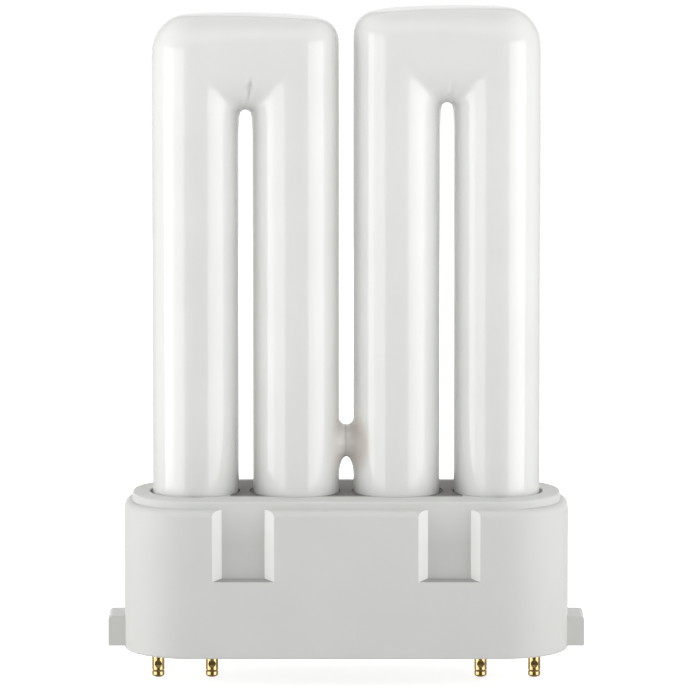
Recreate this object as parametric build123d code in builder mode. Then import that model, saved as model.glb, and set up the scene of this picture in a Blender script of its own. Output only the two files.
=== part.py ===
from build123d import *
import os

# A flat compact fluorescent lamp: four glass limbs in one row, on a moulded cap with four pins.
# Origin: centre of the cap's underside. X runs along the row, -Y is the front, +Z is up the limbs.
# All sizes are in millimetres.

os.makedirs("parts", exist_ok=True)

# Glass tubing, and the bends that join its limbs in pairs
TUBE_D = 16.0
LIMB_GAP = 2.6
BEND_COUNT = 2
GLASS_TOP_Z = 119.4
BEND_STAGGER = 1.35  # how much lower the glass ends at each bend further left, as it was blown
BEND_H = 17.7  # from the crotch between two limbs to the top of their bend
BEND_CROWN = 0.8  # how far the middle of a bend's top stands above its ends
BEND_CORNER_R = 5.0  # rounding of a bend's top, all the way round

# Fused bridge tube between the two middle limbs
BRIDGE_D = 6.0
BRIDGE_Z = 38.6
BRIDGE_STRAIGHT = 0.2  # what its flares leave straight between them
WELD_CREASE_W = 0.3  # each flank of the crease where the halves of the bridge were fused
WELD_CREASE_DEPTH = 0.15

# Lower ends of the limbs, inside the cap
LIMB_END_Z = 21.4
PINCH_SHOULDER_H = 3.6
PINCH_H = 6.6
PINCH_W = 13.0
PINCH_T = 3.4
DOME_H = 5.5
TIP_D = 3.4
TIP_L = 4.2

# Cap housing
CAP_END_MARGIN = 5.25  # from the glass to the cap's ends
CAP_SIDE_MARGIN = 6.8  # from the glass to the cap's front and back
CAP_END_FLAT = 4.4  # what the rounded corners leave flat at each end
SHOULDER_Z = 27.7
SHOULDER_R = 1.3
COLLAR_H = 1.5
COLLAR_INSET = 1.5
COLLAR_END_FLAT = 2.6
COLLAR_EDGE_R = 0.4
BASE_EDGE_R = 0.4
WALL = 1.9
DECK_T = 2.0
LIMB_HOLE_CLEARANCE = 0.4  # of a limb's hole in the deck, on the radius
LIMB_HOLE_OUTSET = 0.2  # how far the holes stand further out than the limbs, which the bridge holds in

# Latch recesses, two on the front and two on the back
RECESS_PITCH = 38.0
RECESS_W = 11.6
RECESS_FLOOR_W = 7.9
RECESS_BOTTOM_Z = 14.4
RECESS_LEDGE_DROP = 0.5  # fall of the ledge at the foot of a recess

# Latch tabs, one at each end
TAB_REACH = 3.0
TAB_W = 9.0
TAB_H = 5.6
TAB_BOTTOM_Z = 0.7
TAB_CORNER_R = 0.8

# Cement sleeves that hang from the deck, and the cement in them
CEMENT_T = 0.7
CEMENT_L = 5.0
SLEEVE_WALL = 1.2
SLEEVE_OVERHANG = 0.4  # how far a sleeve reaches below its cement

# Closing plate
PLATE_T = 2.4
PLATE_LEDGE = 0.7
PLATE_CLEARANCE = 0.1
BOSS_D = 6.4
BOSS_H = 2.6

# Contact pins and their lead wires
PIN_D = 2.3
PIN_L = 6.0  # below the cap's underside
PIN_PITCH = 10.0
PIN_END_DISTANCE = 6.15  # from the cap's end to the outer pin
PIN_SHANK_D = 2.7  # in the plate
PIN_SHOULDER_H = 0.3  # taper from the shank to the pin, just below the plate
PIN_HEAD_D = 3.8
PIN_HEAD_T = 0.8
PIN_NECK_D = 2.04
PIN_NECK_Z = -4.75
PIN_BORE_D = 1.0
PIN_END_T = 0.8  # solid end of the pin below its bore
CRIMP_Z = -3.4
CRIMP_R = 1.3
CRIMP_DEPTH = 0.22
WIRE_D = 0.7
WIRE_SPREAD = 3.6  # between the two wires that leave one pinch seal
WIRE_BEND_R = 1.0
WIRE_STRAIGHT_L = 1.5
WIRE_END_GAP = 0.3  # between the wire's tip and the foot of the pin's bore

# Places worked out from the sizes
tube_r = TUBE_D / 2
limb_count = 2 * BEND_COUNT
limb_pitch = TUBE_D + LIMB_GAP
limb_x = [(i - (limb_count - 1) / 2) * limb_pitch for i in range(limb_count)]
bend_rise = BEND_H + LIMB_GAP / 2  # above the axis that the tube turns round
bend_axes = [
    (limb_x[2 * i] + limb_pitch / 2, GLASS_TOP_Z - (BEND_COUNT - 1 - i) * BEND_STAGGER - bend_rise)
    for i in range(BEND_COUNT)
]
bridge_x = [limb_x[2 * i - 1] + limb_pitch / 2 for i in range(1, BEND_COUNT)]
bridge_flare_r = (LIMB_GAP - BRIDGE_STRAIGHT) / 2
cap_w = limb_x[-1] - limb_x[0] + TUBE_D + 2 * CAP_END_MARGIN
cap_d = TUBE_D + 2 * CAP_SIDE_MARGIN
cap_corner_r = (cap_d - CAP_END_FLAT) / 2
collar_w = cap_w - 2 * COLLAR_INSET
collar_d = cap_d - 2 * COLLAR_INSET
collar_corner_r = (collar_d - COLLAR_END_FLAT) / 2
collar_top_z = SHOULDER_Z + COLLAR_H
deck_z = collar_top_z - DECK_T
limb_hole_x = [x + (LIMB_HOLE_OUTSET if x > 0 else -LIMB_HOLE_OUTSET) for x in limb_x]
sleeve_bore_r = tube_r + CEMENT_T
sleeve_bottom_z = deck_z - CEMENT_L - SLEEVE_OVERHANG
pinch_z = LIMB_END_Z - PINCH_SHOULDER_H
seal_z = pinch_z - PINCH_H
boss_top_z = PLATE_T + BOSS_H
outer_pin_x = cap_w / 2 - PIN_END_DISTANCE
pin_x = [-outer_pin_x, PIN_PITCH - outer_pin_x, outer_pin_x - PIN_PITCH, outer_pin_x]
wire_x = [limb_x[end] + step * WIRE_SPREAD / 2 for end in (0, -1) for step in (-1, 1)]


# One bend of the glass, blown out to a square shape over its two limbs, about its own axis
with BuildPart() as bend:
    # A block with full-round ends and a crowned, rounded top
    with BuildSketch():
        SlotOverall(limb_pitch + TUBE_D, TUBE_D)
    extrude(amount=bend_rise)
    with BuildSketch(Plane.XZ.offset(-tube_r)):
        with BuildLine():
            crown_end_x = limb_pitch / 2 + tube_r
            crown = ThreePointArc(
                (-crown_end_x, bend_rise - BEND_CROWN),
                (0, bend_rise),
                (crown_end_x, bend_rise - BEND_CROWN),
            )
            Polyline(
                crown @ 1,
                (crown_end_x, bend_rise + BEND_CROWN),
                (-crown_end_x, bend_rise + BEND_CROWN),
                crown @ 0,
            )
        make_face()
    extrude(amount=TUBE_D, mode=Mode.SUBTRACT)
    fillet(bend.faces().sort_by(Axis.Z)[-1].edges(), BEND_CORNER_R)

    # Under the block the tube turns round the crotch as the inner half of a ring
    with BuildSketch(Plane.XZ.offset(-tube_r)):
        with BuildLine():
            turn = CenterArc((0, 0), limb_pitch / 2, 0, 180)
            Line(turn @ 1, turn @ 0)
        make_face()
    extrude(amount=TUBE_D, mode=Mode.SUBTRACT)
    with BuildSketch():
        with BuildLine():
            inner_half = CenterArc((limb_pitch / 2, 0), tube_r, 90, 180)
            Line(inner_half @ 1, inner_half @ 0)
        make_face()
    revolve(axis=Axis((0, 0, 0), (0, -1, 0)), revolution_arc=180)

# Discharge tube: one sealed piece of glass
with BuildPart() as discharge_tube:
    # Straight limbs, each circle turned so that it starts at the back, clear of the bridge
    for x, axis_z in bend_axes:
        with BuildSketch(Plane.XY.offset(LIMB_END_Z)):
            with Locations(*[Location((x + side * limb_pitch / 2, 0), 90) for side in (-1, 1)]):
                Circle(tube_r)
        extrude(amount=axis_z - LIMB_END_Z)

    # Bridge between two pairs of limbs, flared where it runs into them
    for x in bridge_x:
        with BuildSketch(Plane.YZ.offset(x - limb_pitch / 2)):
            with Locations((0, BRIDGE_Z)):
                Circle(BRIDGE_D / 2)
        extrude(amount=limb_pitch)
    fillet(discharge_tube.edges().filter_by(GeomType.BSPLINE), bridge_flare_r)
    for x in bridge_x:
        with BuildSketch(Plane.XZ):
            with BuildLine():
                crease_rim_z = BRIDGE_Z + BRIDGE_D / 2 + WELD_CREASE_DEPTH
                Polyline(
                    (x - WELD_CREASE_W, crease_rim_z),
                    (x, BRIDGE_Z + BRIDGE_D / 2 - WELD_CREASE_DEPTH),
                    (x + WELD_CREASE_W, crease_rim_z),
                    close=True,
                )
            make_face()
        revolve(axis=Axis((x, 0, BRIDGE_Z), (1, 0, 0)), mode=Mode.SUBTRACT)

    # A bend over each pair of limbs
    with Locations(*[(x, 0, axis_z) for x, axis_z in bend_axes]):
        add(bend.part)

    # Outer limbs end in flat pinch seals
    for x in (limb_x[0], limb_x[-1]):
        with BuildSketch(Plane.XY.offset(LIMB_END_Z)):
            with Locations((x, 0)):
                Circle(tube_r)
        with BuildSketch(Plane.XY.offset(pinch_z)):
            with Locations((x, 0)):
                SlotOverall(PINCH_W, PINCH_T)
        loft()
        with BuildSketch(Plane.XY.offset(seal_z)):
            with Locations((x, 0)):
                SlotOverall(PINCH_W, PINCH_T)
        extrude(amount=PINCH_H)

    # Middle limbs end in a dome with a sealed-off exhaust tip
    for x in limb_x[1:-1]:
        with BuildSketch(Plane.XZ):
            with BuildLine():
                tip_z = LIMB_END_Z - DOME_H - TIP_L
                dome = EllipticalCenterArc((x, LIMB_END_Z), tube_r, DOME_H, -90, arc_size=90)
                Line(dome @ 0, (x, LIMB_END_Z))
                Line((x, LIMB_END_Z), dome @ 1)
            make_face()
            with BuildLine():
                tip_side = Line((x + TIP_D / 2, LIMB_END_Z), (x + TIP_D / 2, tip_z + TIP_D / 2))
                tip_end = CenterArc((x, tip_z + TIP_D / 2), TIP_D / 2, -90, 90)
                Line(tip_end @ 0, (x, LIMB_END_Z))
                Line((x, LIMB_END_Z), tip_side @ 0)
            make_face()
        revolve(axis=Axis((x, 0, 0), (0, 0, 1)))
discharge_tube.part.label = "discharge_tube"
export_step(discharge_tube.part, "parts/discharge_tube.step")

# Cap housing: a moulded shell, open below
recess_depth = COLLAR_INSET
recess_places = [(side, x) for side in (-1, 1) for x in (-RECESS_PITCH / 2, RECESS_PITCH / 2)]
pad_bottom_z = RECESS_BOTTOM_Z - WALL
cavity_w = cap_w - 2 * WALL
cavity_d = cap_d - 2 * WALL
cavity_corner_r = cap_corner_r - WALL

with BuildPart() as base_housing:
    with BuildSketch():
        RectangleRounded(cap_w, cap_d, cap_corner_r)
    extrude(amount=SHOULDER_Z)
    fillet(base_housing.faces().sort_by(Axis.Z)[-1].edges(), SHOULDER_R)
    fillet(base_housing.faces().sort_by(Axis.Z)[0].edges(), BASE_EDGE_R)

    # Collar round the limbs
    with BuildSketch(Plane.XY.offset(SHOULDER_Z)):
        RectangleRounded(collar_w, collar_d, collar_corner_r)
    extrude(amount=COLLAR_H)
    fillet(base_housing.faces().sort_by(Axis.Z)[-1].edges(), COLLAR_EDGE_R)

    # Latch recesses: sloped sides, a floor in line with the collar's wall, open at the shoulder
    recess_h = collar_top_z - RECESS_BOTTOM_Z
    for side, x in recess_places:
        face_plane = Plane(
            origin=(x, side * cap_d / 2, RECESS_BOTTOM_Z), x_dir=(-side, 0, 0), z_dir=(0, side, 0)
        )
        with BuildSketch(face_plane):
            with Locations((0, recess_h / 2)):
                Rectangle(RECESS_W, recess_h)
        with BuildSketch(face_plane.offset(-recess_depth)):
            with Locations((0, (recess_h + RECESS_LEDGE_DROP) / 2)):
                Rectangle(RECESS_FLOOR_W, recess_h - RECESS_LEDGE_DROP)
        loft(mode=Mode.SUBTRACT)

    # Latch tabs, rooted in the wall
    for side in (-1, 1):
        with BuildSketch(Plane.XY.offset(TAB_BOTTOM_Z)):
            with Locations((side * (cap_w / 2 + (TAB_REACH - WALL) / 2), 0)):
                Rectangle(TAB_REACH + WALL, TAB_W)
        extrude(amount=TAB_H)
        tab_edges = base_housing.faces().sort_by(Axis.X)[0 if side < 0 else -1].edges()
        fillet(tab_edges.filter_by(Axis.Y).sort_by(Axis.Z)[-1:], TAB_CORNER_R)

    # Rebate for the closing plate, then the hollow above it, which steps in behind the recesses
    with BuildSketch():
        RectangleRounded(
            cavity_w + 2 * PLATE_LEDGE, cavity_d + 2 * PLATE_LEDGE, cavity_corner_r + PLATE_LEDGE
        )
    extrude(amount=PLATE_T, mode=Mode.SUBTRACT)
    with BuildSketch(Plane.XY.offset(PLATE_T)):
        RectangleRounded(cavity_w, cavity_d, cavity_corner_r)
    extrude(amount=pad_bottom_z - PLATE_T, mode=Mode.SUBTRACT)
    with BuildSketch(Plane.XY.offset(pad_bottom_z)):
        RectangleRounded(cavity_w, cavity_d, cavity_corner_r)
        with Locations(*[(x, side * cavity_d / 2) for side, x in recess_places]):
            Rectangle(RECESS_W + 2 * WALL, 2 * recess_depth, mode=Mode.SUBTRACT)
    extrude(amount=deck_z - pad_bottom_z, mode=Mode.SUBTRACT)

    # Sleeves under the deck, bored for the cement, with a closer hole through the deck
    with BuildSketch(Plane.XY.offset(sleeve_bottom_z)):
        with Locations(*[(x, 0) for x in limb_x]):
            Circle(sleeve_bore_r + SLEEVE_WALL)
    extrude(amount=deck_z - sleeve_bottom_z)
    with BuildSketch(Plane.XY.offset(sleeve_bottom_z)):
        with Locations(*[(x, 0) for x in limb_x]):
            Circle(sleeve_bore_r)
    extrude(amount=deck_z - sleeve_bottom_z, mode=Mode.SUBTRACT)
    with BuildSketch(Plane.XY.offset(deck_z)):
        with Locations(*[(x, 0) for x in limb_hole_x]):
            Circle(tube_r + LIMB_HOLE_CLEARANCE)
    extrude(amount=collar_top_z - deck_z, mode=Mode.SUBTRACT)
base_housing.part.label = "base_housing"
export_step(base_housing.part, "parts/base_housing.step")

# Closing plate: fills the rebate, with a boss round each pin
plate_w = cavity_w + 2 * (PLATE_LEDGE - PLATE_CLEARANCE)
plate_d = cavity_d + 2 * (PLATE_LEDGE - PLATE_CLEARANCE)
plate_corner_r = cavity_corner_r + PLATE_LEDGE - PLATE_CLEARANCE

with BuildPart() as base_plate:
    with BuildSketch():
        RectangleRounded(plate_w, plate_d, plate_corner_r)
    extrude(amount=PLATE_T)
    with BuildSketch(Plane.XY.offset(PLATE_T)):
        with Locations(*[(x, 0) for x in pin_x]):
            Circle(BOSS_D / 2)
    extrude(amount=BOSS_H)
    with BuildSketch():
        with Locations(*[(x, 0) for x in pin_x]):
            Circle(PIN_SHANK_D / 2)
    extrude(amount=boss_top_z, mode=Mode.SUBTRACT)
base_plate.part.label = "base_plate"
export_step(base_plate.part, "parts/base_plate.step")

# Cement rings, one round the foot of each limb
for number, x in enumerate(limb_x, start=1):
    with BuildPart() as limb_cement:
        with BuildSketch(Plane.XY.offset(deck_z - CEMENT_L)):
            with Locations((x, 0)):
                Circle(sleeve_bore_r)
                Circle(tube_r, mode=Mode.SUBTRACT)
        extrude(amount=CEMENT_L)
    limb_cement.part.label = f"limb_cement_{number}"
    export_step(limb_cement.part, f"parts/limb_cement_{number}.step")

# Contact pins: hollow, headed on the boss, crimped on to the wire, necked above a rounded tip
pin_tip_r = PIN_D / 2
bore_foot_z = PIN_END_T - PIN_L
for number, x in enumerate(pin_x, start=1):
    with BuildPart() as contact_pin:
        with BuildSketch(Plane.XZ):
            with BuildLine():
                Polyline(
                    (x, 0),
                    (x, boss_top_z + PIN_HEAD_T),
                    (x + PIN_HEAD_D / 2, boss_top_z + PIN_HEAD_T),
                    (x + PIN_HEAD_D / 2, boss_top_z),
                    (x + PIN_SHANK_D / 2, boss_top_z),
                    (x + PIN_SHANK_D / 2, 0),
                    (x + PIN_D / 2, -PIN_SHOULDER_H),
                    (x + PIN_D / 2, PIN_NECK_Z + (PIN_D - PIN_NECK_D)),
                    (x + PIN_NECK_D / 2, PIN_NECK_Z),
                    (x + PIN_D / 2, PIN_NECK_Z - (PIN_D - PIN_NECK_D) / 2),
                    (x + PIN_D / 2, -PIN_L + pin_tip_r / 2),
                )
                EllipticalCenterArc(
                    (x, -PIN_L + pin_tip_r / 2), pin_tip_r, pin_tip_r / 2, -90, arc_size=90
                )
                Line((x, -PIN_L), (x, 0))
            make_face()
        revolve(axis=Axis((x, 0, 0), (0, 0, 1)))
        with BuildSketch(Plane.XY.offset(bore_foot_z)):
            with Locations((x, 0)):
                Circle(PIN_BORE_D / 2)
        extrude(amount=boss_top_z + PIN_HEAD_T - bore_foot_z, mode=Mode.SUBTRACT)
        # The crimp leaves a dent in front and one behind
        crimp_offset = PIN_D / 2 + CRIMP_R - CRIMP_DEPTH
        with BuildSketch(Plane.YZ.offset(x - PIN_D / 2)):
            with Locations((-crimp_offset, CRIMP_Z), (crimp_offset, CRIMP_Z)):
                Circle(CRIMP_R)
        extrude(amount=PIN_D, mode=Mode.SUBTRACT)
    contact_pin.part.label = f"contact_pin_{number}"
    export_step(contact_pin.part, f"parts/contact_pin_{number}.step")

# Lead wires: from the pinch seal into the pin's bore
for number, (seal_x, end_x) in enumerate(zip(wire_x, pin_x), start=1):
    with BuildPart() as lead_wire:
        with BuildLine():
            FilletPolyline(
                (seal_x, 0, seal_z),
                (seal_x, 0, seal_z - WIRE_STRAIGHT_L),
                (end_x, 0, boss_top_z + PIN_HEAD_T + WIRE_STRAIGHT_L),
                (end_x, 0, bore_foot_z + WIRE_END_GAP),
                radius=WIRE_BEND_R,
            )
        with BuildSketch(Plane.XY.offset(seal_z)):
            with Locations((seal_x, 0)):
                Circle(WIRE_D / 2)
        sweep()
    lead_wire.part.label = f"lead_wire_{number}"
    export_step(lead_wire.part, f"parts/lead_wire_{number}.step")
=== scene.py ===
from math import cos, exp, hypot, pi, radians, sin, sqrt, tan

import bmesh
import bpy
from mathutils import Matrix, Vector


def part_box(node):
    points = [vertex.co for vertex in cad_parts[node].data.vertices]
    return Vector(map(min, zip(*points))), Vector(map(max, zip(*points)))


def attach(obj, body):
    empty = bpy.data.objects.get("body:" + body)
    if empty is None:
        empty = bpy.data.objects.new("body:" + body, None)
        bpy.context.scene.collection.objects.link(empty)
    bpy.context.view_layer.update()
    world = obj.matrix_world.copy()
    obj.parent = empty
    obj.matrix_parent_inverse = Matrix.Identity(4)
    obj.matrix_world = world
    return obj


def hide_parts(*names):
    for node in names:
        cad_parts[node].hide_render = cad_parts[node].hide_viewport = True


bl_info = {
    "name": "Flat compact fluorescent lamp",
    "version": (1, 0, 0),
    "blender": (4, 5, 0),
    "location": "3D View > Sidebar > Lamp",
    "description": "Finishes a flat four-limb lamp: coated glass, moulded cap, pins and a studio",
    "category": "Object",
}

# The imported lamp, and its box before anything is added
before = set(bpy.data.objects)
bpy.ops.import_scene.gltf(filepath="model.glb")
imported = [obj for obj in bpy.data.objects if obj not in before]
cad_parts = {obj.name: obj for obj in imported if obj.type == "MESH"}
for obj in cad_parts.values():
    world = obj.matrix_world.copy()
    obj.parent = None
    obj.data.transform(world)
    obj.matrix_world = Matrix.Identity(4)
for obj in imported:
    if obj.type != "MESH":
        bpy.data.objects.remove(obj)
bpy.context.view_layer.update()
MM = 0.001

# Places and sizes read from the frame, in metres
glass_low, glass_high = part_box("discharge_tube")
ground_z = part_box("contact_pin_1")[0].z
TUBE_R = (glass_high.y - glass_low.y) / 2
LIMB_COUNT = 4
LIMB_PITCH = (glass_high.x - glass_low.x - 2 * TUBE_R) / (LIMB_COUNT - 1)

# Heights that the frame's boxes don't give, as in the part's source
LIMB_END_Z = 21.4 * MM
BRIDGE_Z = 38.6 * MM
BRIDGE_R = 3.0 * MM
BEND_RISE = 19.0 * MM

# The seam round the middle of the bridge, and how far its rims sink into the limbs
SEAM_DEPTH = 0.2 * MM
SEAM_HALF_W = 0.38 * MM
RIM_SINK = 0.06 * MM

# The limb's closed end: the flattened pinch seal of one limb, and the dome and tip of its neighbour
PINCH_HALF_W = 6.5 * MM
PINCH_HALF_T = 1.7 * MM
PINCH_DROP = 3.6 * MM
PINCH_LENGTH = 6.6 * MM
DOME_H = 5.5 * MM
TIP_R = 1.7 * MM
TIP_START = 8.0 * MM

# Where painted light and shade go on the cap: the latch recesses, and the deck between the limbs
RECESS_X = 19 * MM
RECESS_HALF_SPAN = 6 * MM  # a little more than half a recess's width
RECESS_Y = 14.7 * MM  # just inside the cap's front and back
RECESS_LOW_Z = 10 * MM  # between the cap's underside and the foot of a recess
RECESS_FADE_Z = (21 * MM, 27.4 * MM)
COLLAR_FOOT_Z = 27.65 * MM
DECK_Z = 29 * MM
DECK_HALF_SPAN = 21.5 * MM
# The band of painted shade on the deck between the limbs: its middle, set back, and its fade
DECK_SHADE_Y = 2.5 * MM
DECK_SHADE_FADE = (8.5 * MM, 10.5 * MM)

# How the photograph frames the lamp
PHOTO_PX = 700
PX_PER_MM = 5.4
VIEW_ELEVATION = radians(8.3)
CAMERA_DISTANCE = 1.5
LOOK_AT = Vector((0.69, 0, 55.5)) * MM


class LampGlass(bpy.types.PropertyGroup):
    """Sizes of the glass that a user would change"""

    crown: bpy.props.FloatProperty(
        name="Crown",
        description="How far the middle of a bend's top stands above its ends",
        default=0.8 * MM,
        unit="LENGTH",
    )
    corner: bpy.props.FloatProperty(
        name="Corner radius",
        description="Rounding of a bend's blown top",
        default=5 * MM,
        unit="LENGTH",
    )
    lean: bpy.props.FloatProperty(
        name="Corner difference",
        description="How much more each bend's outer corner is rounded than its inner one",
        default=1.5 * MM,
        unit="LENGTH",
    )
    valley: bpy.props.FloatProperty(
        name="Valley height",
        description="Height above a bend's axis where the valley between its limbs has faded out",
        default=11 * MM,
        unit="LENGTH",
    )
    stagger: bpy.props.FloatProperty(
        name="Stagger",
        description="How much lower the left bend ends than the right one",
        default=1.35 * MM,
        unit="LENGTH",
    )
    pucker: bpy.props.FloatProperty(
        name="Pucker depth",
        description="Depth of the crease that the bending leaves above each crotch",
        default=0.5 * MM,
        unit="LENGTH",
    )
    arch: bpy.props.FloatProperty(
        name="Arch stretch",
        description="How much taller the bridge's flare is below than above",
        default=2.7,
    )
    tint: bpy.props.StringProperty(
        name="Glass colour", description="sRGB hex code of the coated glass", default="#EAEBE9"
    )


class LampStage(bpy.types.PropertyGroup):
    """Light and floor of the studio"""

    world_fill: bpy.props.FloatProperty(
        name="World fill", description="Strength of the even light from all round", default=0.36
    )
    floor_colour: bpy.props.StringProperty(
        name="Floor colour", description="sRGB hex code of the floor", default="#F2F2F1"
    )


def linear(code):
    """The linear colour, with alpha, of an sRGB hex code such as "#D2D3D0"."""
    parts = [int(code[i : i + 2], 16) / 255 for i in (1, 3, 5)]
    return (*[p / 12.92 if p <= 0.04045 else ((p + 0.055) / 1.055) ** 2.4 for p in parts], 1)


def add(tree, kind, inputs=None, **settings):
    """Adds a node. An input takes a value, a colour's hex code, or another node's output."""
    made = tree.nodes.new(kind)
    for name, value in settings.items():
        setattr(made, name, value)
    for name, value in (inputs or {}).items():
        if isinstance(value, bpy.types.NodeSocket):
            tree.links.new(value, made.inputs[name])
        else:
            made.inputs[name].default_value = linear(value) if isinstance(value, str) else value
    return made


def start_material(name):
    """An empty material, its node tree, and the piece's own coordinates in metres."""
    material = bpy.data.materials.new(name)
    material.use_nodes = True
    tree = material.node_tree
    tree.nodes.clear()
    return material, tree, add(tree, "ShaderNodeTexCoord").outputs["Object"]


def smooth_near(tree, place, spot, inner, outer):
    """A mask: 1 within the inner distance of a spot, and 0 from the outer distance on."""
    away = add(tree, "ShaderNodeVectorMath", {0: place, 1: spot}, operation="DISTANCE")
    return add(
        tree,
        "ShaderNodeMapRange",
        {
            "Value": away.outputs["Value"],
            "From Min": inner,
            "From Max": outer,
            "To Min": 1,
            "To Max": 0,
        },
        interpolation_type="SMOOTHSTEP",
    ).outputs[0]


def phosphor_coated_glass(tint):
    # Soda-lime glass tube, drawn and blown, with a powder coat inside: an even milky white
    # under a clear glossy wall, warmer where the glass was fused, with painted shade on the
    # bridge's right, along its seam and in the crease above each crotch
    material, tree, place = start_material("phosphor_coated_glass")
    cloud = add(
        tree, "ShaderNodeTexNoise", {"Vector": place, "Scale": 1 / (22 * MM), "Detail": 3.0}
    )
    coat = add(
        tree, "ShaderNodeMix", {0: cloud.outputs["Fac"], 6: tint, 7: "#DEDFDC"}, data_type="RGBA"
    ).outputs[2]
    # Warmer where the bridge was fused, with painted shade on its right and along its seam, and
    # painted
    # shade in the crease above each crotch: (place in mm, squeeze of its height and depth, reach in
    # mm, colour)
    for x, y, z, squeeze, inner, outer, colour in (
        (0.5, 0, 38.6, 0.5, 1.5, 5, "#F0EBE7"),
        # painted shade on the bridge's right
        (2.2, -4, 38.6, 0.5, 1, 3.4, "#CCC5BF"),
        # painted shade along the bridge's seam
        (-0.1, 0, 39.2, 0.1, 0.1, 0.42, "#ADA7A1"),
        # painted shade in the crease above each crotch
        (-17.8, -8, 104.8, 0.7, 0.1, 1.3, "#A9A59F"),
        (19.6, -8, 104.4, 0.7, 0.1, 0.9, "#C4C0BA"),
    ):
        squeezed = add(tree, "ShaderNodeMapping", {"Vector": place, "Scale": (1, squeeze, squeeze)})
        spot = (x * MM, y * MM * squeeze, z * MM * squeeze)
        near = smooth_near(tree, squeezed.outputs[0], spot, inner * MM, outer * MM)
        coat = add(
            tree, "ShaderNodeMix", {0: near, 6: coat, 7: colour}, data_type="RGBA"
        ).outputs[2]
    ripple = add(tree, "ShaderNodeMapping", {"Vector": place, "Scale": (1, 1, 0.25)})
    wave = add(
        tree,
        "ShaderNodeTexNoise",
        {"Vector": ripple.outputs[0], "Scale": 1 / (9 * MM), "Detail": 1.0},
    )
    draw_lines = add(
        tree,
        "ShaderNodeBump",
        {"Height": wave.outputs["Fac"], "Strength": 0.5, "Distance": 0.12 * MM},
    )
    shader = add(
        tree,
        "ShaderNodeBsdfPrincipled",
        {
            "Base Color": coat,
            "Roughness": 0.4,
            "IOR": 1.5,
            "Specular IOR Level": 0.3,
            "Coat Weight": 1.0,
            "Coat Roughness": 0.03,
            "Coat IOR": 1.52,
            "Coat Normal": draw_lines.outputs["Normal"],
        },
    )
    add(tree, "ShaderNodeOutputMaterial", {"Surface": shader.outputs[0]})
    return material


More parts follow.
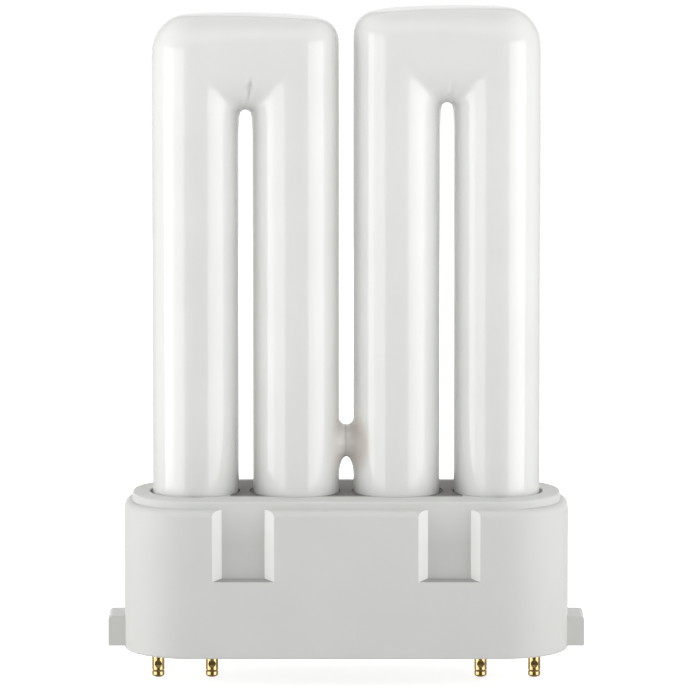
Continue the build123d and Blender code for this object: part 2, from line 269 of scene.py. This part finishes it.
def moulded_polyester(name, light, dark):
    # Glass-filled polyester, injection moulded in an eroded steel mould: pale grey and matt, with
    # a fine even grain, drawn coarser than it is so that it shows
    material, tree, place = start_material(name)
    cloud = add(
        tree, "ShaderNodeTexNoise", {"Vector": place, "Scale": 1 / (14 * MM), "Detail": 2.0}
    )
    tint = add(
        tree, "ShaderNodeMix", {0: cloud.outputs["Fac"], 6: light, 7: dark}, data_type="RGBA"
    ).outputs[2]
    # Painted light and shade in the latch recesses: a painted highlight on the walls at the sides,
    # painted shade on the floor that runs out towards the shoulder, and a darker painted shadow at
    # the foot
    at = add(tree, "ShaderNodeSeparateXYZ", {0: place}).outputs
    facing = add(
        tree, "ShaderNodeSeparateXYZ", {0: add(tree, "ShaderNodeTexCoord").outputs["Normal"]}
    ).outputs
    x_away = add(tree, "ShaderNodeMath", {0: at["X"]}, operation="ABSOLUTE").outputs[0]
    y_away = add(tree, "ShaderNodeMath", {0: at["Y"]}, operation="ABSOLUTE").outputs[0]
    beside = add(
        tree, "ShaderNodeMath", {0: x_away, 1: RECESS_X, 2: RECESS_HALF_SPAN}, operation="COMPARE"
    )
    sunken = add(tree, "ShaderNodeMath", {0: y_away, 1: RECESS_Y}, operation="LESS_THAN")
    opening = add(
        tree, "ShaderNodeMath", {0: beside.outputs[0], 1: sunken.outputs[0]}, operation="MULTIPLY"
    )
    above_face = add(
        tree, "ShaderNodeMath", {0: at["Z"], 1: RECESS_LOW_Z}, operation="GREATER_THAN"
    )
    recess_area = add(
        tree,
        "ShaderNodeMath",
        {0: opening.outputs[0], 1: above_face.outputs[0]},
        operation="MULTIPLY",
    ).outputs[0]
    low = add(
        tree,
        "ShaderNodeMapRange",
        {
            "Value": at["Z"],
            "From Min": RECESS_FADE_Z[0],
            "From Max": RECESS_FADE_Z[1],
            "To Min": 1,
            "To Max": 0,
        },
    )
    # painted shade on the recess floor, fading out towards the shoulder
    floor = add(tree, "ShaderNodeMath", {0: recess_area, 1: low.outputs[0]}, operation="MULTIPLY")
    below_collar = add(
        tree, "ShaderNodeMath", {0: at["Z"], 1: COLLAR_FOOT_Z}, operation="LESS_THAN"
    )
    inside = add(
        tree, "ShaderNodeMath", {0: recess_area, 1: below_collar.outputs[0]}, operation="MULTIPLY"
    )
    sideways = add(tree, "ShaderNodeMath", {0: facing["X"]}, operation="ABSOLUTE")
    side_wall = add(
        tree,
        "ShaderNodeMapRange",
        {"Value": sideways.outputs[0], "From Min": 0.3, "From Max": 0.55},
    )
    # painted highlight on the recess's side walls
    wall = add(
        tree,
        "ShaderNodeMath",
        {0: inside.outputs[0], 1: side_wall.outputs[0]},
        operation="MULTIPLY",
    )
    upward = add(
        tree, "ShaderNodeMapRange", {"Value": facing["Z"], "From Min": 0.3, "From Max": 0.5}
    )
    # painted shadow at the foot of each recess
    foot = add(
        tree, "ShaderNodeMath", {0: floor.outputs[0], 1: upward.outputs[0]}, operation="MULTIPLY"
    )
    # Between the limbs the deck is darkened with painted shade
    slot = add(tree, "ShaderNodeMath", {0: at["Y"], 1: -DECK_SHADE_Y}, operation="ADD")
    slot_away = add(tree, "ShaderNodeMath", {0: slot.outputs[0]}, operation="ABSOLUTE")
    between = add(
        tree,
        "ShaderNodeMapRange",
        {
            "Value": slot_away.outputs[0],
            "From Min": DECK_SHADE_FADE[0],
            "From Max": DECK_SHADE_FADE[1],
            "To Min": 1,
            "To Max": 0,
        },
    )
    amid = add(tree, "ShaderNodeMath", {0: x_away, 1: DECK_HALF_SPAN}, operation="LESS_THAN")
    on_deck = add(tree, "ShaderNodeMath", {0: at["Z"], 1: DECK_Z}, operation="GREATER_THAN")
    middle = add(
        tree, "ShaderNodeMath", {0: amid.outputs[0], 1: on_deck.outputs[0]}, operation="MULTIPLY"
    )
    # painted shade on the deck between the limbs
    deck_shade = add(
        tree, "ShaderNodeMath", {0: between.outputs[0], 1: middle.outputs[0]}, operation="MULTIPLY"
    )
    # Painted shade on the recess floor, painted highlight on its walls, painted shadow at its foot,
    # painted shade on the deck
    for mask, colour in (
        (floor, "#C6C7C4"),
        (wall, "#E6E7E4"),
        (foot, "#A4A5A2"),
        (deck_shade, "#6F6C68"),
    ):
        tint = add(
            tree, "ShaderNodeMix", {0: mask.outputs[0], 6: tint, 7: colour}, data_type="RGBA"
        ).outputs[2]
    grain = add(
        tree, "ShaderNodeTexNoise", {"Vector": place, "Scale": 1 / (0.35 * MM), "Detail": 2.0}
    )
    eroded = add(
        tree,
        "ShaderNodeBump",
        {"Height": grain.outputs["Fac"], "Strength": 0.25, "Distance": 0.03 * MM},
    )
    shader = add(
        tree,
        "ShaderNodeBsdfPrincipled",
        {
            "Base Color": tint,
            "Roughness": 0.55,
            "IOR": 1.5,
            "Specular IOR Level": 0.3,
            "Normal": eroded.outputs["Normal"],
        },
    )
    add(tree, "ShaderNodeOutputMaterial", {"Surface": shader.outputs[0]})
    return material


def drawn_brass():
    # Brass tube, drawn and turned: warm yellow metal, brighter and darker by turns where it was
    # handled
    material, tree, place = start_material("drawn_brass")
    cloud = add(
        tree, "ShaderNodeTexNoise", {"Vector": place, "Scale": 1 / (1.2 * MM), "Detail": 2.0}
    )
    tint = add(
        tree,
        "ShaderNodeMix",
        {0: cloud.outputs["Fac"], 6: "#DDC28C", 7: "#C7A566"},
        data_type="RGBA",
    ).outputs[2]
    shader = add(
        tree, "ShaderNodeBsdfPrincipled", {"Base Color": tint, "Metallic": 1.0, "Roughness": 0.18}
    )
    add(tree, "ShaderNodeOutputMaterial", {"Surface": shader.outputs[0]})
    return material


def drawn_nickel():
    # Nickel-plated iron wire, drawn: dull grey metal
    material, tree, place = start_material("drawn_nickel")
    cloud = add(
        tree, "ShaderNodeTexNoise", {"Vector": place, "Scale": 1 / (0.8 * MM), "Detail": 2.0}
    )
    tint = add(
        tree,
        "ShaderNodeMix",
        {0: cloud.outputs["Fac"], 6: "#B5B2AB", 7: "#9C9992"},
        data_type="RGBA",
    ).outputs[2]
    shader = add(
        tree, "ShaderNodeBsdfPrincipled", {"Base Color": tint, "Metallic": 1.0, "Roughness": 0.35}
    )
    add(tree, "ShaderNodeOutputMaterial", {"Surface": shader.outputs[0]})
    return material


def baked_cement():
    # Capping cement, baked: off-white and chalky
    material, tree, place = start_material("baked_cement")
    cloud = add(
        tree, "ShaderNodeTexNoise", {"Vector": place, "Scale": 1 / (0.5 * MM), "Detail": 4.0}
    )
    tint = add(
        tree,
        "ShaderNodeMix",
        {0: cloud.outputs["Fac"], 6: "#DAD5C8", 7: "#C4BEB0"},
        data_type="RGBA",
    ).outputs[2]
    chalky = add(
        tree,
        "ShaderNodeBump",
        {"Height": cloud.outputs["Fac"], "Strength": 0.6, "Distance": 0.1 * MM},
    )
    shader = add(
        tree,
        "ShaderNodeBsdfPrincipled",
        {"Base Color": tint, "Roughness": 0.9, "Normal": chalky.outputs["Normal"]},
    )
    add(tree, "ShaderNodeOutputMaterial", {"Surface": shader.outputs[0]})
    return material


def finish_node(name, material):
    """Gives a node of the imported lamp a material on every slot."""
    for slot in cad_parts[name].material_slots:
        slot.material = material


def make_piece(name, bm, material):
    """Closes a bmesh into an object whose faces are smooth and point outwards."""
    bmesh.ops.remove_doubles(bm, verts=bm.verts, dist=0.001 * MM)
    bmesh.ops.recalc_face_normals(bm, faces=bm.faces)
    for face in bm.faces:
        face.smooth = len(face.verts) == 4
    piece = bpy.data.objects.new(name, bpy.data.meshes.new(name))
    bm.to_mesh(piece.data)
    bm.free()
    piece.data.materials.append(material)
    bpy.context.scene.collection.objects.link(piece)
    return piece


def reach_surface(start, ray, limit, outside):
    """The point where a ray from one side of a surface crosses it, found by halving."""
    near, far = 0.0, limit
    begins_outside = outside(start) > 0
    for _ in range(30):
        middle = (near + far) / 2
        if (outside(start + ray * middle) > 0) == begins_outside:
            near = middle
        else:
            far = middle
    return start + ray * far


def extrude_rim(bm, rim, move):
    """Extrudes an open rim and moves each new vertex. Returns the new rim."""
    made = bmesh.ops.extrude_edge_only(bm, edges=rim)["geom"]
    verts = {g for g in made if isinstance(g, bmesh.types.BMVert)}
    for vert in verts:
        vert.co = move(vert.co)
    return [g for g in made if isinstance(g, bmesh.types.BMEdge) and set(g.verts) <= verts]


def valley_depth(across, up):
    """How far two blended hollows reach below the front of the glass, in shares of its radius."""
    if min(across, up) <= 0:
        return 0
    return (across**-3 + up**-3) ** (-1 / 3)


def run_on(past):
    """How a hollow goes on falling beyond its side, as a share of the radius."""
    return 3 * past + 12 * past**2


def hollow(share):
    """The depth of a round wall at a share of its radius from its crown, and past its side."""
    return 1 - sqrt(max(1 - share**2, 0)) + run_on(max(abs(share) - 1, 0))


def blow_bend(bm, settings, outer):
    """A bend about the origin: half a ring, pushed out to two limbs with a squared, blown top.
    Its outer side, -1 or 1, is rounded more than its inner one."""
    half_pitch = LIMB_PITCH / 2
    crotch = half_pitch - TUBE_R
    ring = bmesh.ops.create_circle(
        bm, segments=96, radius=TUBE_R, matrix=Matrix.Translation((half_pitch, 0, 0))
    )["verts"]
    rim = list(bm.edges)
    bmesh.ops.spin(bm, geom=ring + rim, cent=(0, 0, 0), axis=(0, 1, 0), angle=-pi, steps=90)

    def outside(point):
        across = hollow((abs(point.x) - half_pitch) / TUBE_R)
        sunk = max(settings.valley - point.z, 0) / (settings.valley - crotch)
        up = 1 - sqrt(max(1 - sunk**2, 0))
        up += run_on(max(crotch - point.z, 0) / TUBE_R)
        depth = valley_depth(across, up) if abs(point.x) < half_pitch else across
        body = abs(point.y) - TUBE_R * (1 - depth)
        along = outer * point.x / (half_pitch + TUBE_R)
        corner = settings.corner + settings.lean * along
        side = hypot(max(abs(point.x) - half_pitch, 0), point.y) - TUBE_R + corner
        top = point.z - BEND_RISE + corner + settings.crown * (along - 0.2) ** 2
        blown = min(max(side, top), 0) + hypot(max(side, 0), max(top, 0)) - corner
        return max(body, blown)

    for vert in bm.verts:
        centre = Vector((vert.co.x, 0, vert.co.z)).normalized() * half_pitch
        ray = vert.co - centre
        inward = -ray.dot(centre)
        limit = min(3, centre.length_squared / inward) if inward > 0 else 3
        vert.co = reach_surface(centre, ray, limit, outside)
    upper = [vert for vert in bm.verts if vert.co.z > 0.5 * MM]
    for _ in range(3):
        bmesh.ops.smooth_vert(
            bm, verts=upper, factor=0.5, use_axis_x=True, use_axis_y=True, use_axis_z=True
        )


def press_pucker(bm, depth, centre, spread):
    """A small crease with raised lips in the front of a bend, and a fainter one behind."""
    for vert in bm.verts:
        along = (vert.co.z - centre[1]) / spread[1]
        across = (vert.co.x - centre[0] - 0.12 * (vert.co.z - centre[1])) / spread[0]
        if abs(vert.co.y) > TUBE_R / 2 and abs(along) < 4 and abs(across) < 5:
            press = depth * (1 - across**2) * exp(-(across**2 + along**2) / 2)
            vert.co.y += press if vert.co.y < 0 else -0.4 * press


def lower_limb(bm, rim, x, end_z):
    """A straight round limb down from a bend's rim, to the height where its closed end begins."""

    def make_round(co):
        away = Vector((co.x - x, co.y, 0)).normalized() * TUBE_R
        return Vector((x + away.x, away.y, -3 * MM))

    rim = extrude_rim(bm, rim, make_round)
    return extrude_rim(bm, rim, lambda co: Vector((co.x, co.y, end_z)))


def pinch_end(bm, rim, x):
    """Flattens a limb's end to a pinch seal."""
    steps = 8
    for step in range(1, steps + 1):
        share = (1 - cos(pi * step / steps)) / 2
        half_t = TUBE_R + (PINCH_HALF_T - TUBE_R) * share
        narrow = (PINCH_HALF_W / TUBE_R) ** (1 / steps)
        rim = extrude_rim(
            bm,
            rim,
            lambda co: Vector(
                (
                    x + (co.x - x) * narrow,
                    max(-half_t, min(half_t, co.y)),
                    co.z - PINCH_DROP / steps,
                )
            ),
        )
    rim = extrude_rim(bm, rim, lambda co: Vector((co.x, co.y, co.z - PINCH_LENGTH)))
    bmesh.ops.edgeloop_fill(bm, edges=rim)


def dome_end(bm, rim, x):
    """Closes a limb with a dome and the sealed-off exhaust tip under it."""
    steps = 14
    radius = TUBE_R
    turns = [pi / 2 * i / steps for i in range(1, steps)]
    sections = [(TUBE_R * cos(turn), DOME_H * sin(turn)) for turn in turns]
    sections = [(r, h) for r, h in sections if r > TIP_R]
    sections += [(TIP_R, DOME_H), (TIP_R, TIP_START)]
    sections += [
        (TIP_R * cos(radians(a)), TIP_START + TIP_R * sin(radians(a))) for a in (20, 40, 60, 75)
    ]
    done = 0
    for new_radius, depth in sections:
        factor = new_radius / radius
        rim = extrude_rim(
            bm,
            rim,
            lambda co: Vector((x + (co.x - x) * factor, co.y * factor, co.z - (depth - done))),
        )
        radius, done = new_radius, depth
    bmesh.ops.edgeloop_fill(bm, edges=rim)


def fuse_bridge(bm, settings):
    """The tube between two pairs of limbs. It flares into both, and further below than above."""
    fillet = LIMB_PITCH / 2 - TUBE_R
    ring = bmesh.ops.create_circle(
        bm, segments=96, radius=1, matrix=Matrix.Rotation(pi / 2, 4, "Y")
    )["verts"]

    def outside(point):
        lower = (1 - point.z / max(hypot(point.y, point.z), MM * 1e-3)) / 2
        limb = hypot(abs(point.x) - LIMB_PITCH / 2, point.y) - TUBE_R
        tube = (hypot(point.y, point.z) - BRIDGE_R) / (1 + (settings.arch - 1) * lower**2)
        return max(fillet, min(limb, tube)) - hypot(max(fillet - limb, 0), max(fillet - tube, 0))

    def on_fan(direction, fan):
        """Where a ray of the fan from the hollow beside the bridge meets the glass."""
        stretch = 1 + (settings.arch - 1) * ((1 - direction.z) / 2) ** 2
        start = direction * (BRIDGE_R + fillet * stretch)
        turn = max(-pi / 2, min(pi / 2, fan))
        ray = Vector((sin(turn), 0, 0)) - direction * stretch * cos(turn)
        limit = 6 * MM
        if abs(fan) < pi / 2:
            limit = min(limit, 0.97 * start.length / (stretch * cos(turn)))
        point = reach_surface(start, ray, limit, outside)
        past = abs(fan) - pi / 2
        if past <= 0:
            return point
        # Past the fillet it runs on along the limb and sinks a little, so that its rim doesn't show
        point += direction * stretch * fillet * past
        axis_x = LIMB_PITCH / 2 if fan > 0 else -LIMB_PITCH / 2
        sunk = TUBE_R - RIM_SINK * (past / (widest - pi / 2)) ** 2
        away = Vector((point.x - axis_x, point.y, 0)).normalized() * sunk
        return Vector((axis_x + away.x, away.y, point.z))

    count = 24
    widest = radians(104)
    directions = [Vector((0, v.co.y, v.co.z)).normalized() for v in ring]
    rim = list(bm.edges)
    for vert, direction in zip(ring, directions):
        vert.co = direction * MM
    for step in range(-count, count + 1):
        fan = widest * step / count
        place = lambda co: on_fan(Vector((0, co.y, co.z)).normalized(), fan)
        if step == -count:
            for vert in ring:
                vert.co = place(vert.co)
            first = rim
        else:
            rim = extrude_rim(bm, rim, place)
    for end, side in ((first, -1), (rim, 1)):
        for edge in end:
            edge.smooth = False
        inner = extrude_rim(
            bm, end, lambda co: Vector((co.x + side * 1.5 * MM, co.y * 0.6, co.z * 0.6))
        )
        bmesh.ops.edgeloop_fill(bm, edges=inner)
    for vert in bm.verts:
        away = hypot(vert.co.y, vert.co.z)
        groove = SEAM_DEPTH * exp(-((vert.co.x / SEAM_HALF_W) ** 2)) * (vert.co.y / away) ** 2
        vert.co -= Vector((0, vert.co.y, vert.co.z)) * groove / away
    bmesh.ops.translate(bm, vec=(0, 0, BRIDGE_Z), verts=bm.verts)


def append_shell(target, shell, offset=(0, 0, 0)):
    """Moves a finished shell into the bmesh of the whole piece."""
    bmesh.ops.translate(shell, vec=offset, verts=shell.verts)
    mesh = bpy.data.meshes.new("shell")
    shell.to_mesh(mesh)
    shell.free()
    target.from_mesh(mesh)
    bpy.data.meshes.remove(mesh)


class LAMP_OT_glass(bpy.types.Operator):
    """Blow the discharge tube: two squared bends on four limbs, fused by a bridge"""

    bl_idname = "lamp.glass"
    bl_label = "Coated glass tube"

    def execute(self, context):
        settings = context.scene.lamp_glass
        whole = bmesh.new()
        # (pair's centre, how much lower it ends, pucker's depth, place and spread)
        pairs = (
            (
                -LIMB_PITCH,
                settings.stagger,
                settings.pucker,
                (0.8 * MM, 5.6 * MM),
                (0.5 * MM, 1.5 * MM),
            ),
            (LIMB_PITCH, 0, settings.pucker * 0.6, (0.8 * MM, 4.0 * MM), (0.6 * MM, 1.0 * MM)),
        )
        for centre_x, lowered, depth, spot, spread in pairs:
            bend = bmesh.new()
            axis_z = glass_high.z - BEND_RISE - lowered
            blow_bend(bend, settings, 1 if centre_x > 0 else -1)
            press_pucker(bend, depth, spot, spread)
            for side in (-1, 1):
                x = side * LIMB_PITCH / 2
                rim = [e for e in bend.edges if e.is_boundary and e.verts[0].co.x * side > 0]
                rim = lower_limb(bend, rim, x, LIMB_END_Z - axis_z)
                if side * centre_x > 0:
                    pinch_end(bend, rim, x)
                else:
                    dome_end(bend, rim, x)
            append_shell(whole, bend, (centre_x, 0, axis_z))
        bridge = bmesh.new()
        fuse_bridge(bridge, settings)
        append_shell(whole, bridge)
        glass = make_piece("glass_tube", whole, phosphor_coated_glass(settings.tint))
        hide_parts("discharge_tube")
        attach(glass, "root")
        return {"FINISHED"}


class LAMP_OT_cap(bpy.types.Operator):
    """Finish the moulded cap housing and its closing plate"""

    bl_idname = "lamp.cap"
    bl_label = "Moulded cap"

    def execute(self, context):
        finish_node(
            "base_housing", moulded_polyester("moulded_polyester_cap", "#D6D7D4", "#D0D1CE")
        )
        finish_node(
            "base_plate", moulded_polyester("moulded_polyester_plate", "#D0D1CE", "#CACBC8")
        )
        return {"FINISHED"}


class LAMP_OT_contacts(bpy.types.Operator):
    """Finish the brass pins, the lead wires and the capping cement"""

    bl_idname = "lamp.contacts"
    bl_label = "Pins, wires and cement"

    def execute(self, context):
        finishes = {
            "contact_pin": drawn_brass(),
            "lead_wire": drawn_nickel(),
            "limb_cement": baked_cement(),
        }
        for kind, material in finishes.items():
            for number in range(1, LIMB_COUNT + 1):
                finish_node(f"{kind}_{number}", material)
        return {"FINISHED"}


def shows_backdrop(tree):
    """1 for rays that show the background: camera, mirror and see-through rays."""
    path = add(tree, "ShaderNodeLightPath").outputs
    either = add(
        tree,
        "ShaderNodeMath",
        {0: path["Is Camera Ray"], 1: path["Is Glossy Ray"]},
        operation="MAXIMUM",
    )
    return add(
        tree,
        "ShaderNodeMath",
        {0: either.outputs[0], 1: path["Is Transmission Ray"]},
        operation="MAXIMUM",
    ).outputs[0]


# The soft boxes round the lamp: name, azimuth from the front and its span, elevation and its span,
# in degrees, radiance, and whether glass and metal show them
SOFT_BOXES = (
    ("left_near", -76, 28, -6, 36, 1.1, True),
    ("left_wide", -60, 60, -6, 36, 1.8, True),
    ("right_near", 56.5, 47, -6, 36, 2.1, True),
    ("right_far", 65, 30, -6, 36, 0.5, True),
    ("top_left", -40, 40, 50, 30, 0.4, False),
    ("top_right", 40, 40, 50, 30, 0.8, False),
    ("side_left", -80, 30, 22, 28, 3.6, False),
    ("side_right", 75, 30, 22, 28, 3.4, False),
    ("end_left", -98, 26, 8, 28, 1.2, False),
    ("end_right", 98, 26, 8, 28, 1.3, False),
    ("rear_left", -160, 30, 4, 28, 2.5, False),
    ("rear_right", 160, 30, 4, 28, 2.5, False),
)
BOX_DISTANCE = 0.6


def soft_box(name, azimuth, width, elevation, height, radiance, glossy):
    """An area lamp that faces the middle of the glass, as wide and high as its angles say."""
    light = bpy.data.lights.new(name, "AREA")
    light.shape = "RECTANGLE"
    light.size = 2 * BOX_DISTANCE * tan(radians(width / 2))
    light.size_y = 2 * BOX_DISTANCE * tan(radians(height / 2))
    light.energy = radiance * pi * light.size * light.size_y
    box = bpy.data.objects.new(name, light)
    turn, rise = radians(azimuth), radians(elevation)
    away = Vector((sin(turn) * cos(rise), -cos(turn) * cos(rise), sin(rise)))
    box.location = Vector((0, 0, 0.06)) + away * BOX_DISTANCE
    box.rotation_euler = away.to_track_quat("Z", "Y").to_euler()
    box.visible_camera = False
    box.visible_glossy = glossy
    bpy.context.scene.collection.objects.link(box)


class LAMP_OT_stage(bpy.types.Operator):
    """Set up the pale floor, the soft lights, the white surroundings and the camera"""

    bl_idname = "lamp.stage"
    bl_label = "Studio"

    def execute(self, context):
        settings = context.scene.lamp_stage
        self.lay_floor(settings)
        self.light_world(settings)
        for box in SOFT_BOXES:
            soft_box(*box)
        self.place_camera()
        context.scene.view_settings.view_transform = "Standard"
        return {"FINISHED"}

    def lay_floor(self, settings):
        bm = bmesh.new()
        bmesh.ops.create_grid(bm, x_segments=1, y_segments=1, size=0.5)
        bmesh.ops.scale(bm, vec=(0.36, 3.2, 1), verts=bm.verts)
        bmesh.ops.translate(bm, vec=(0, 0.6, ground_z), verts=bm.verts)
        material, tree, place = start_material("painted_board")
        # Board, painted matt white
        matt = add(tree, "ShaderNodeBsdfDiffuse", {"Color": settings.floor_colour})
        glow = add(
            tree, "ShaderNodeEmission", {"Color": "#D8D8D8", "Strength": shows_backdrop(tree)}
        )
        both = add(tree, "ShaderNodeAddShader", {0: matt.outputs[0], 1: glow.outputs[0]})
        add(tree, "ShaderNodeOutputMaterial", {"Surface": both.outputs[0]})
        floor = make_piece("studio_floor", bm, material)
        floor.visible_glossy = False

    def light_world(self, settings):
        world = bpy.data.worlds.new("white_studio")
        world.use_nodes = True
        tree = world.node_tree
        tree.nodes.clear()
        # In what is glossy, the white backdrop shows behind, a dim room round, and a pale ceiling
        place = add(tree, "ShaderNodeTexCoord").outputs["Generated"]
        direction = add(tree, "ShaderNodeSeparateXYZ", {0: place}).outputs
        towards = direction["Y"]
        room = add(
            tree,
            "ShaderNodeMapRange",
            {"Value": towards, "From Min": -0.75, "From Max": 0.15, "To Min": 0.12, "To Max": 0.4},
        )
        behind = add(
            tree, "ShaderNodeMapRange", {"Value": towards, "From Min": 0.8, "From Max": 0.97}
        )
        ceiling = add(
            tree,
            "ShaderNodeMapRange",
            {
                "Value": direction["Z"],
                "From Min": 0.1,
                "From Max": 0.7,
                "To Min": 0.0,
                "To Max": 1.5,
            },
        )
        path = add(tree, "ShaderNodeLightPath").outputs
        white = add(
            tree,
            "ShaderNodeMath",
            {0: behind.outputs[0], 1: path["Is Camera Ray"]},
            operation="MAXIMUM",
        )
        lit = add(
            tree, "ShaderNodeMath", {0: room.outputs[0], 1: ceiling.outputs[0]}, operation="MAXIMUM"
        )
        seen = add(
            tree, "ShaderNodeMath", {0: lit.outputs[0], 1: white.outputs[0]}, operation="MAXIMUM"
        )
        strength = add(
            tree,
            "ShaderNodeMix",
            {0: shows_backdrop(tree), 2: settings.world_fill, 3: seen.outputs[0]},
        )
        shade = add(
            tree, "ShaderNodeBackground", {"Color": "#FFFFFF", "Strength": strength.outputs[0]}
        )
        add(tree, "ShaderNodeOutputWorld", {"Surface": shade.outputs[0]})
        bpy.context.scene.world = world

    def place_camera(self):
        data = bpy.data.cameras.new("photo_camera")
        data.sensor_width = 36
        data.lens = data.sensor_width * PX_PER_MM / MM * CAMERA_DISTANCE / PHOTO_PX
        data.clip_end = 10
        camera = bpy.data.objects.new("photo_camera", data)
        back = Vector((0, -cos(VIEW_ELEVATION), sin(VIEW_ELEVATION)))
        camera.location = LOOK_AT + CAMERA_DISTANCE * back
        camera.rotation_euler = (pi / 2 - VIEW_ELEVATION, 0, 0)
        bpy.context.scene.collection.objects.link(camera)
        bpy.context.scene.camera = camera


class LAMP_PT_steps(bpy.types.Panel):
    """The steps that finish the lamp, in order"""

    bl_idname = "LAMP_PT_steps"
    bl_label = "Flat lamp"
    bl_space_type = "VIEW_3D"
    bl_region_type = "UI"
    bl_category = "Lamp"

    def draw(self, context):
        for step in STEPS:
            self.layout.operator(step.bl_idname)
        for group in (context.scene.lamp_glass, context.scene.lamp_stage):
            for name in group.bl_rna.properties.keys():
                if name not in ("rna_type", "name"):
                    self.layout.prop(group, name)


STEPS = (LAMP_OT_glass, LAMP_OT_cap, LAMP_OT_contacts, LAMP_OT_stage)
CLASSES = (LampGlass, LampStage, *STEPS, LAMP_PT_steps)


def register():
    for cls in CLASSES:
        bpy.utils.register_class(cls)
    bpy.types.Scene.lamp_glass = bpy.props.PointerProperty(type=LampGlass)
    bpy.types.Scene.lamp_stage = bpy.props.PointerProperty(type=LampStage)


def unregister():
    del bpy.types.Scene.lamp_stage
    del bpy.types.Scene.lamp_glass
    for cls in reversed(CLASSES):
        bpy.utils.unregister_class(cls)


def main():
    register()
    bpy.ops.lamp.glass()
    bpy.ops.lamp.cap()
    bpy.ops.lamp.contacts()
    bpy.ops.lamp.stage()


if __name__ == "__main__":
    main()
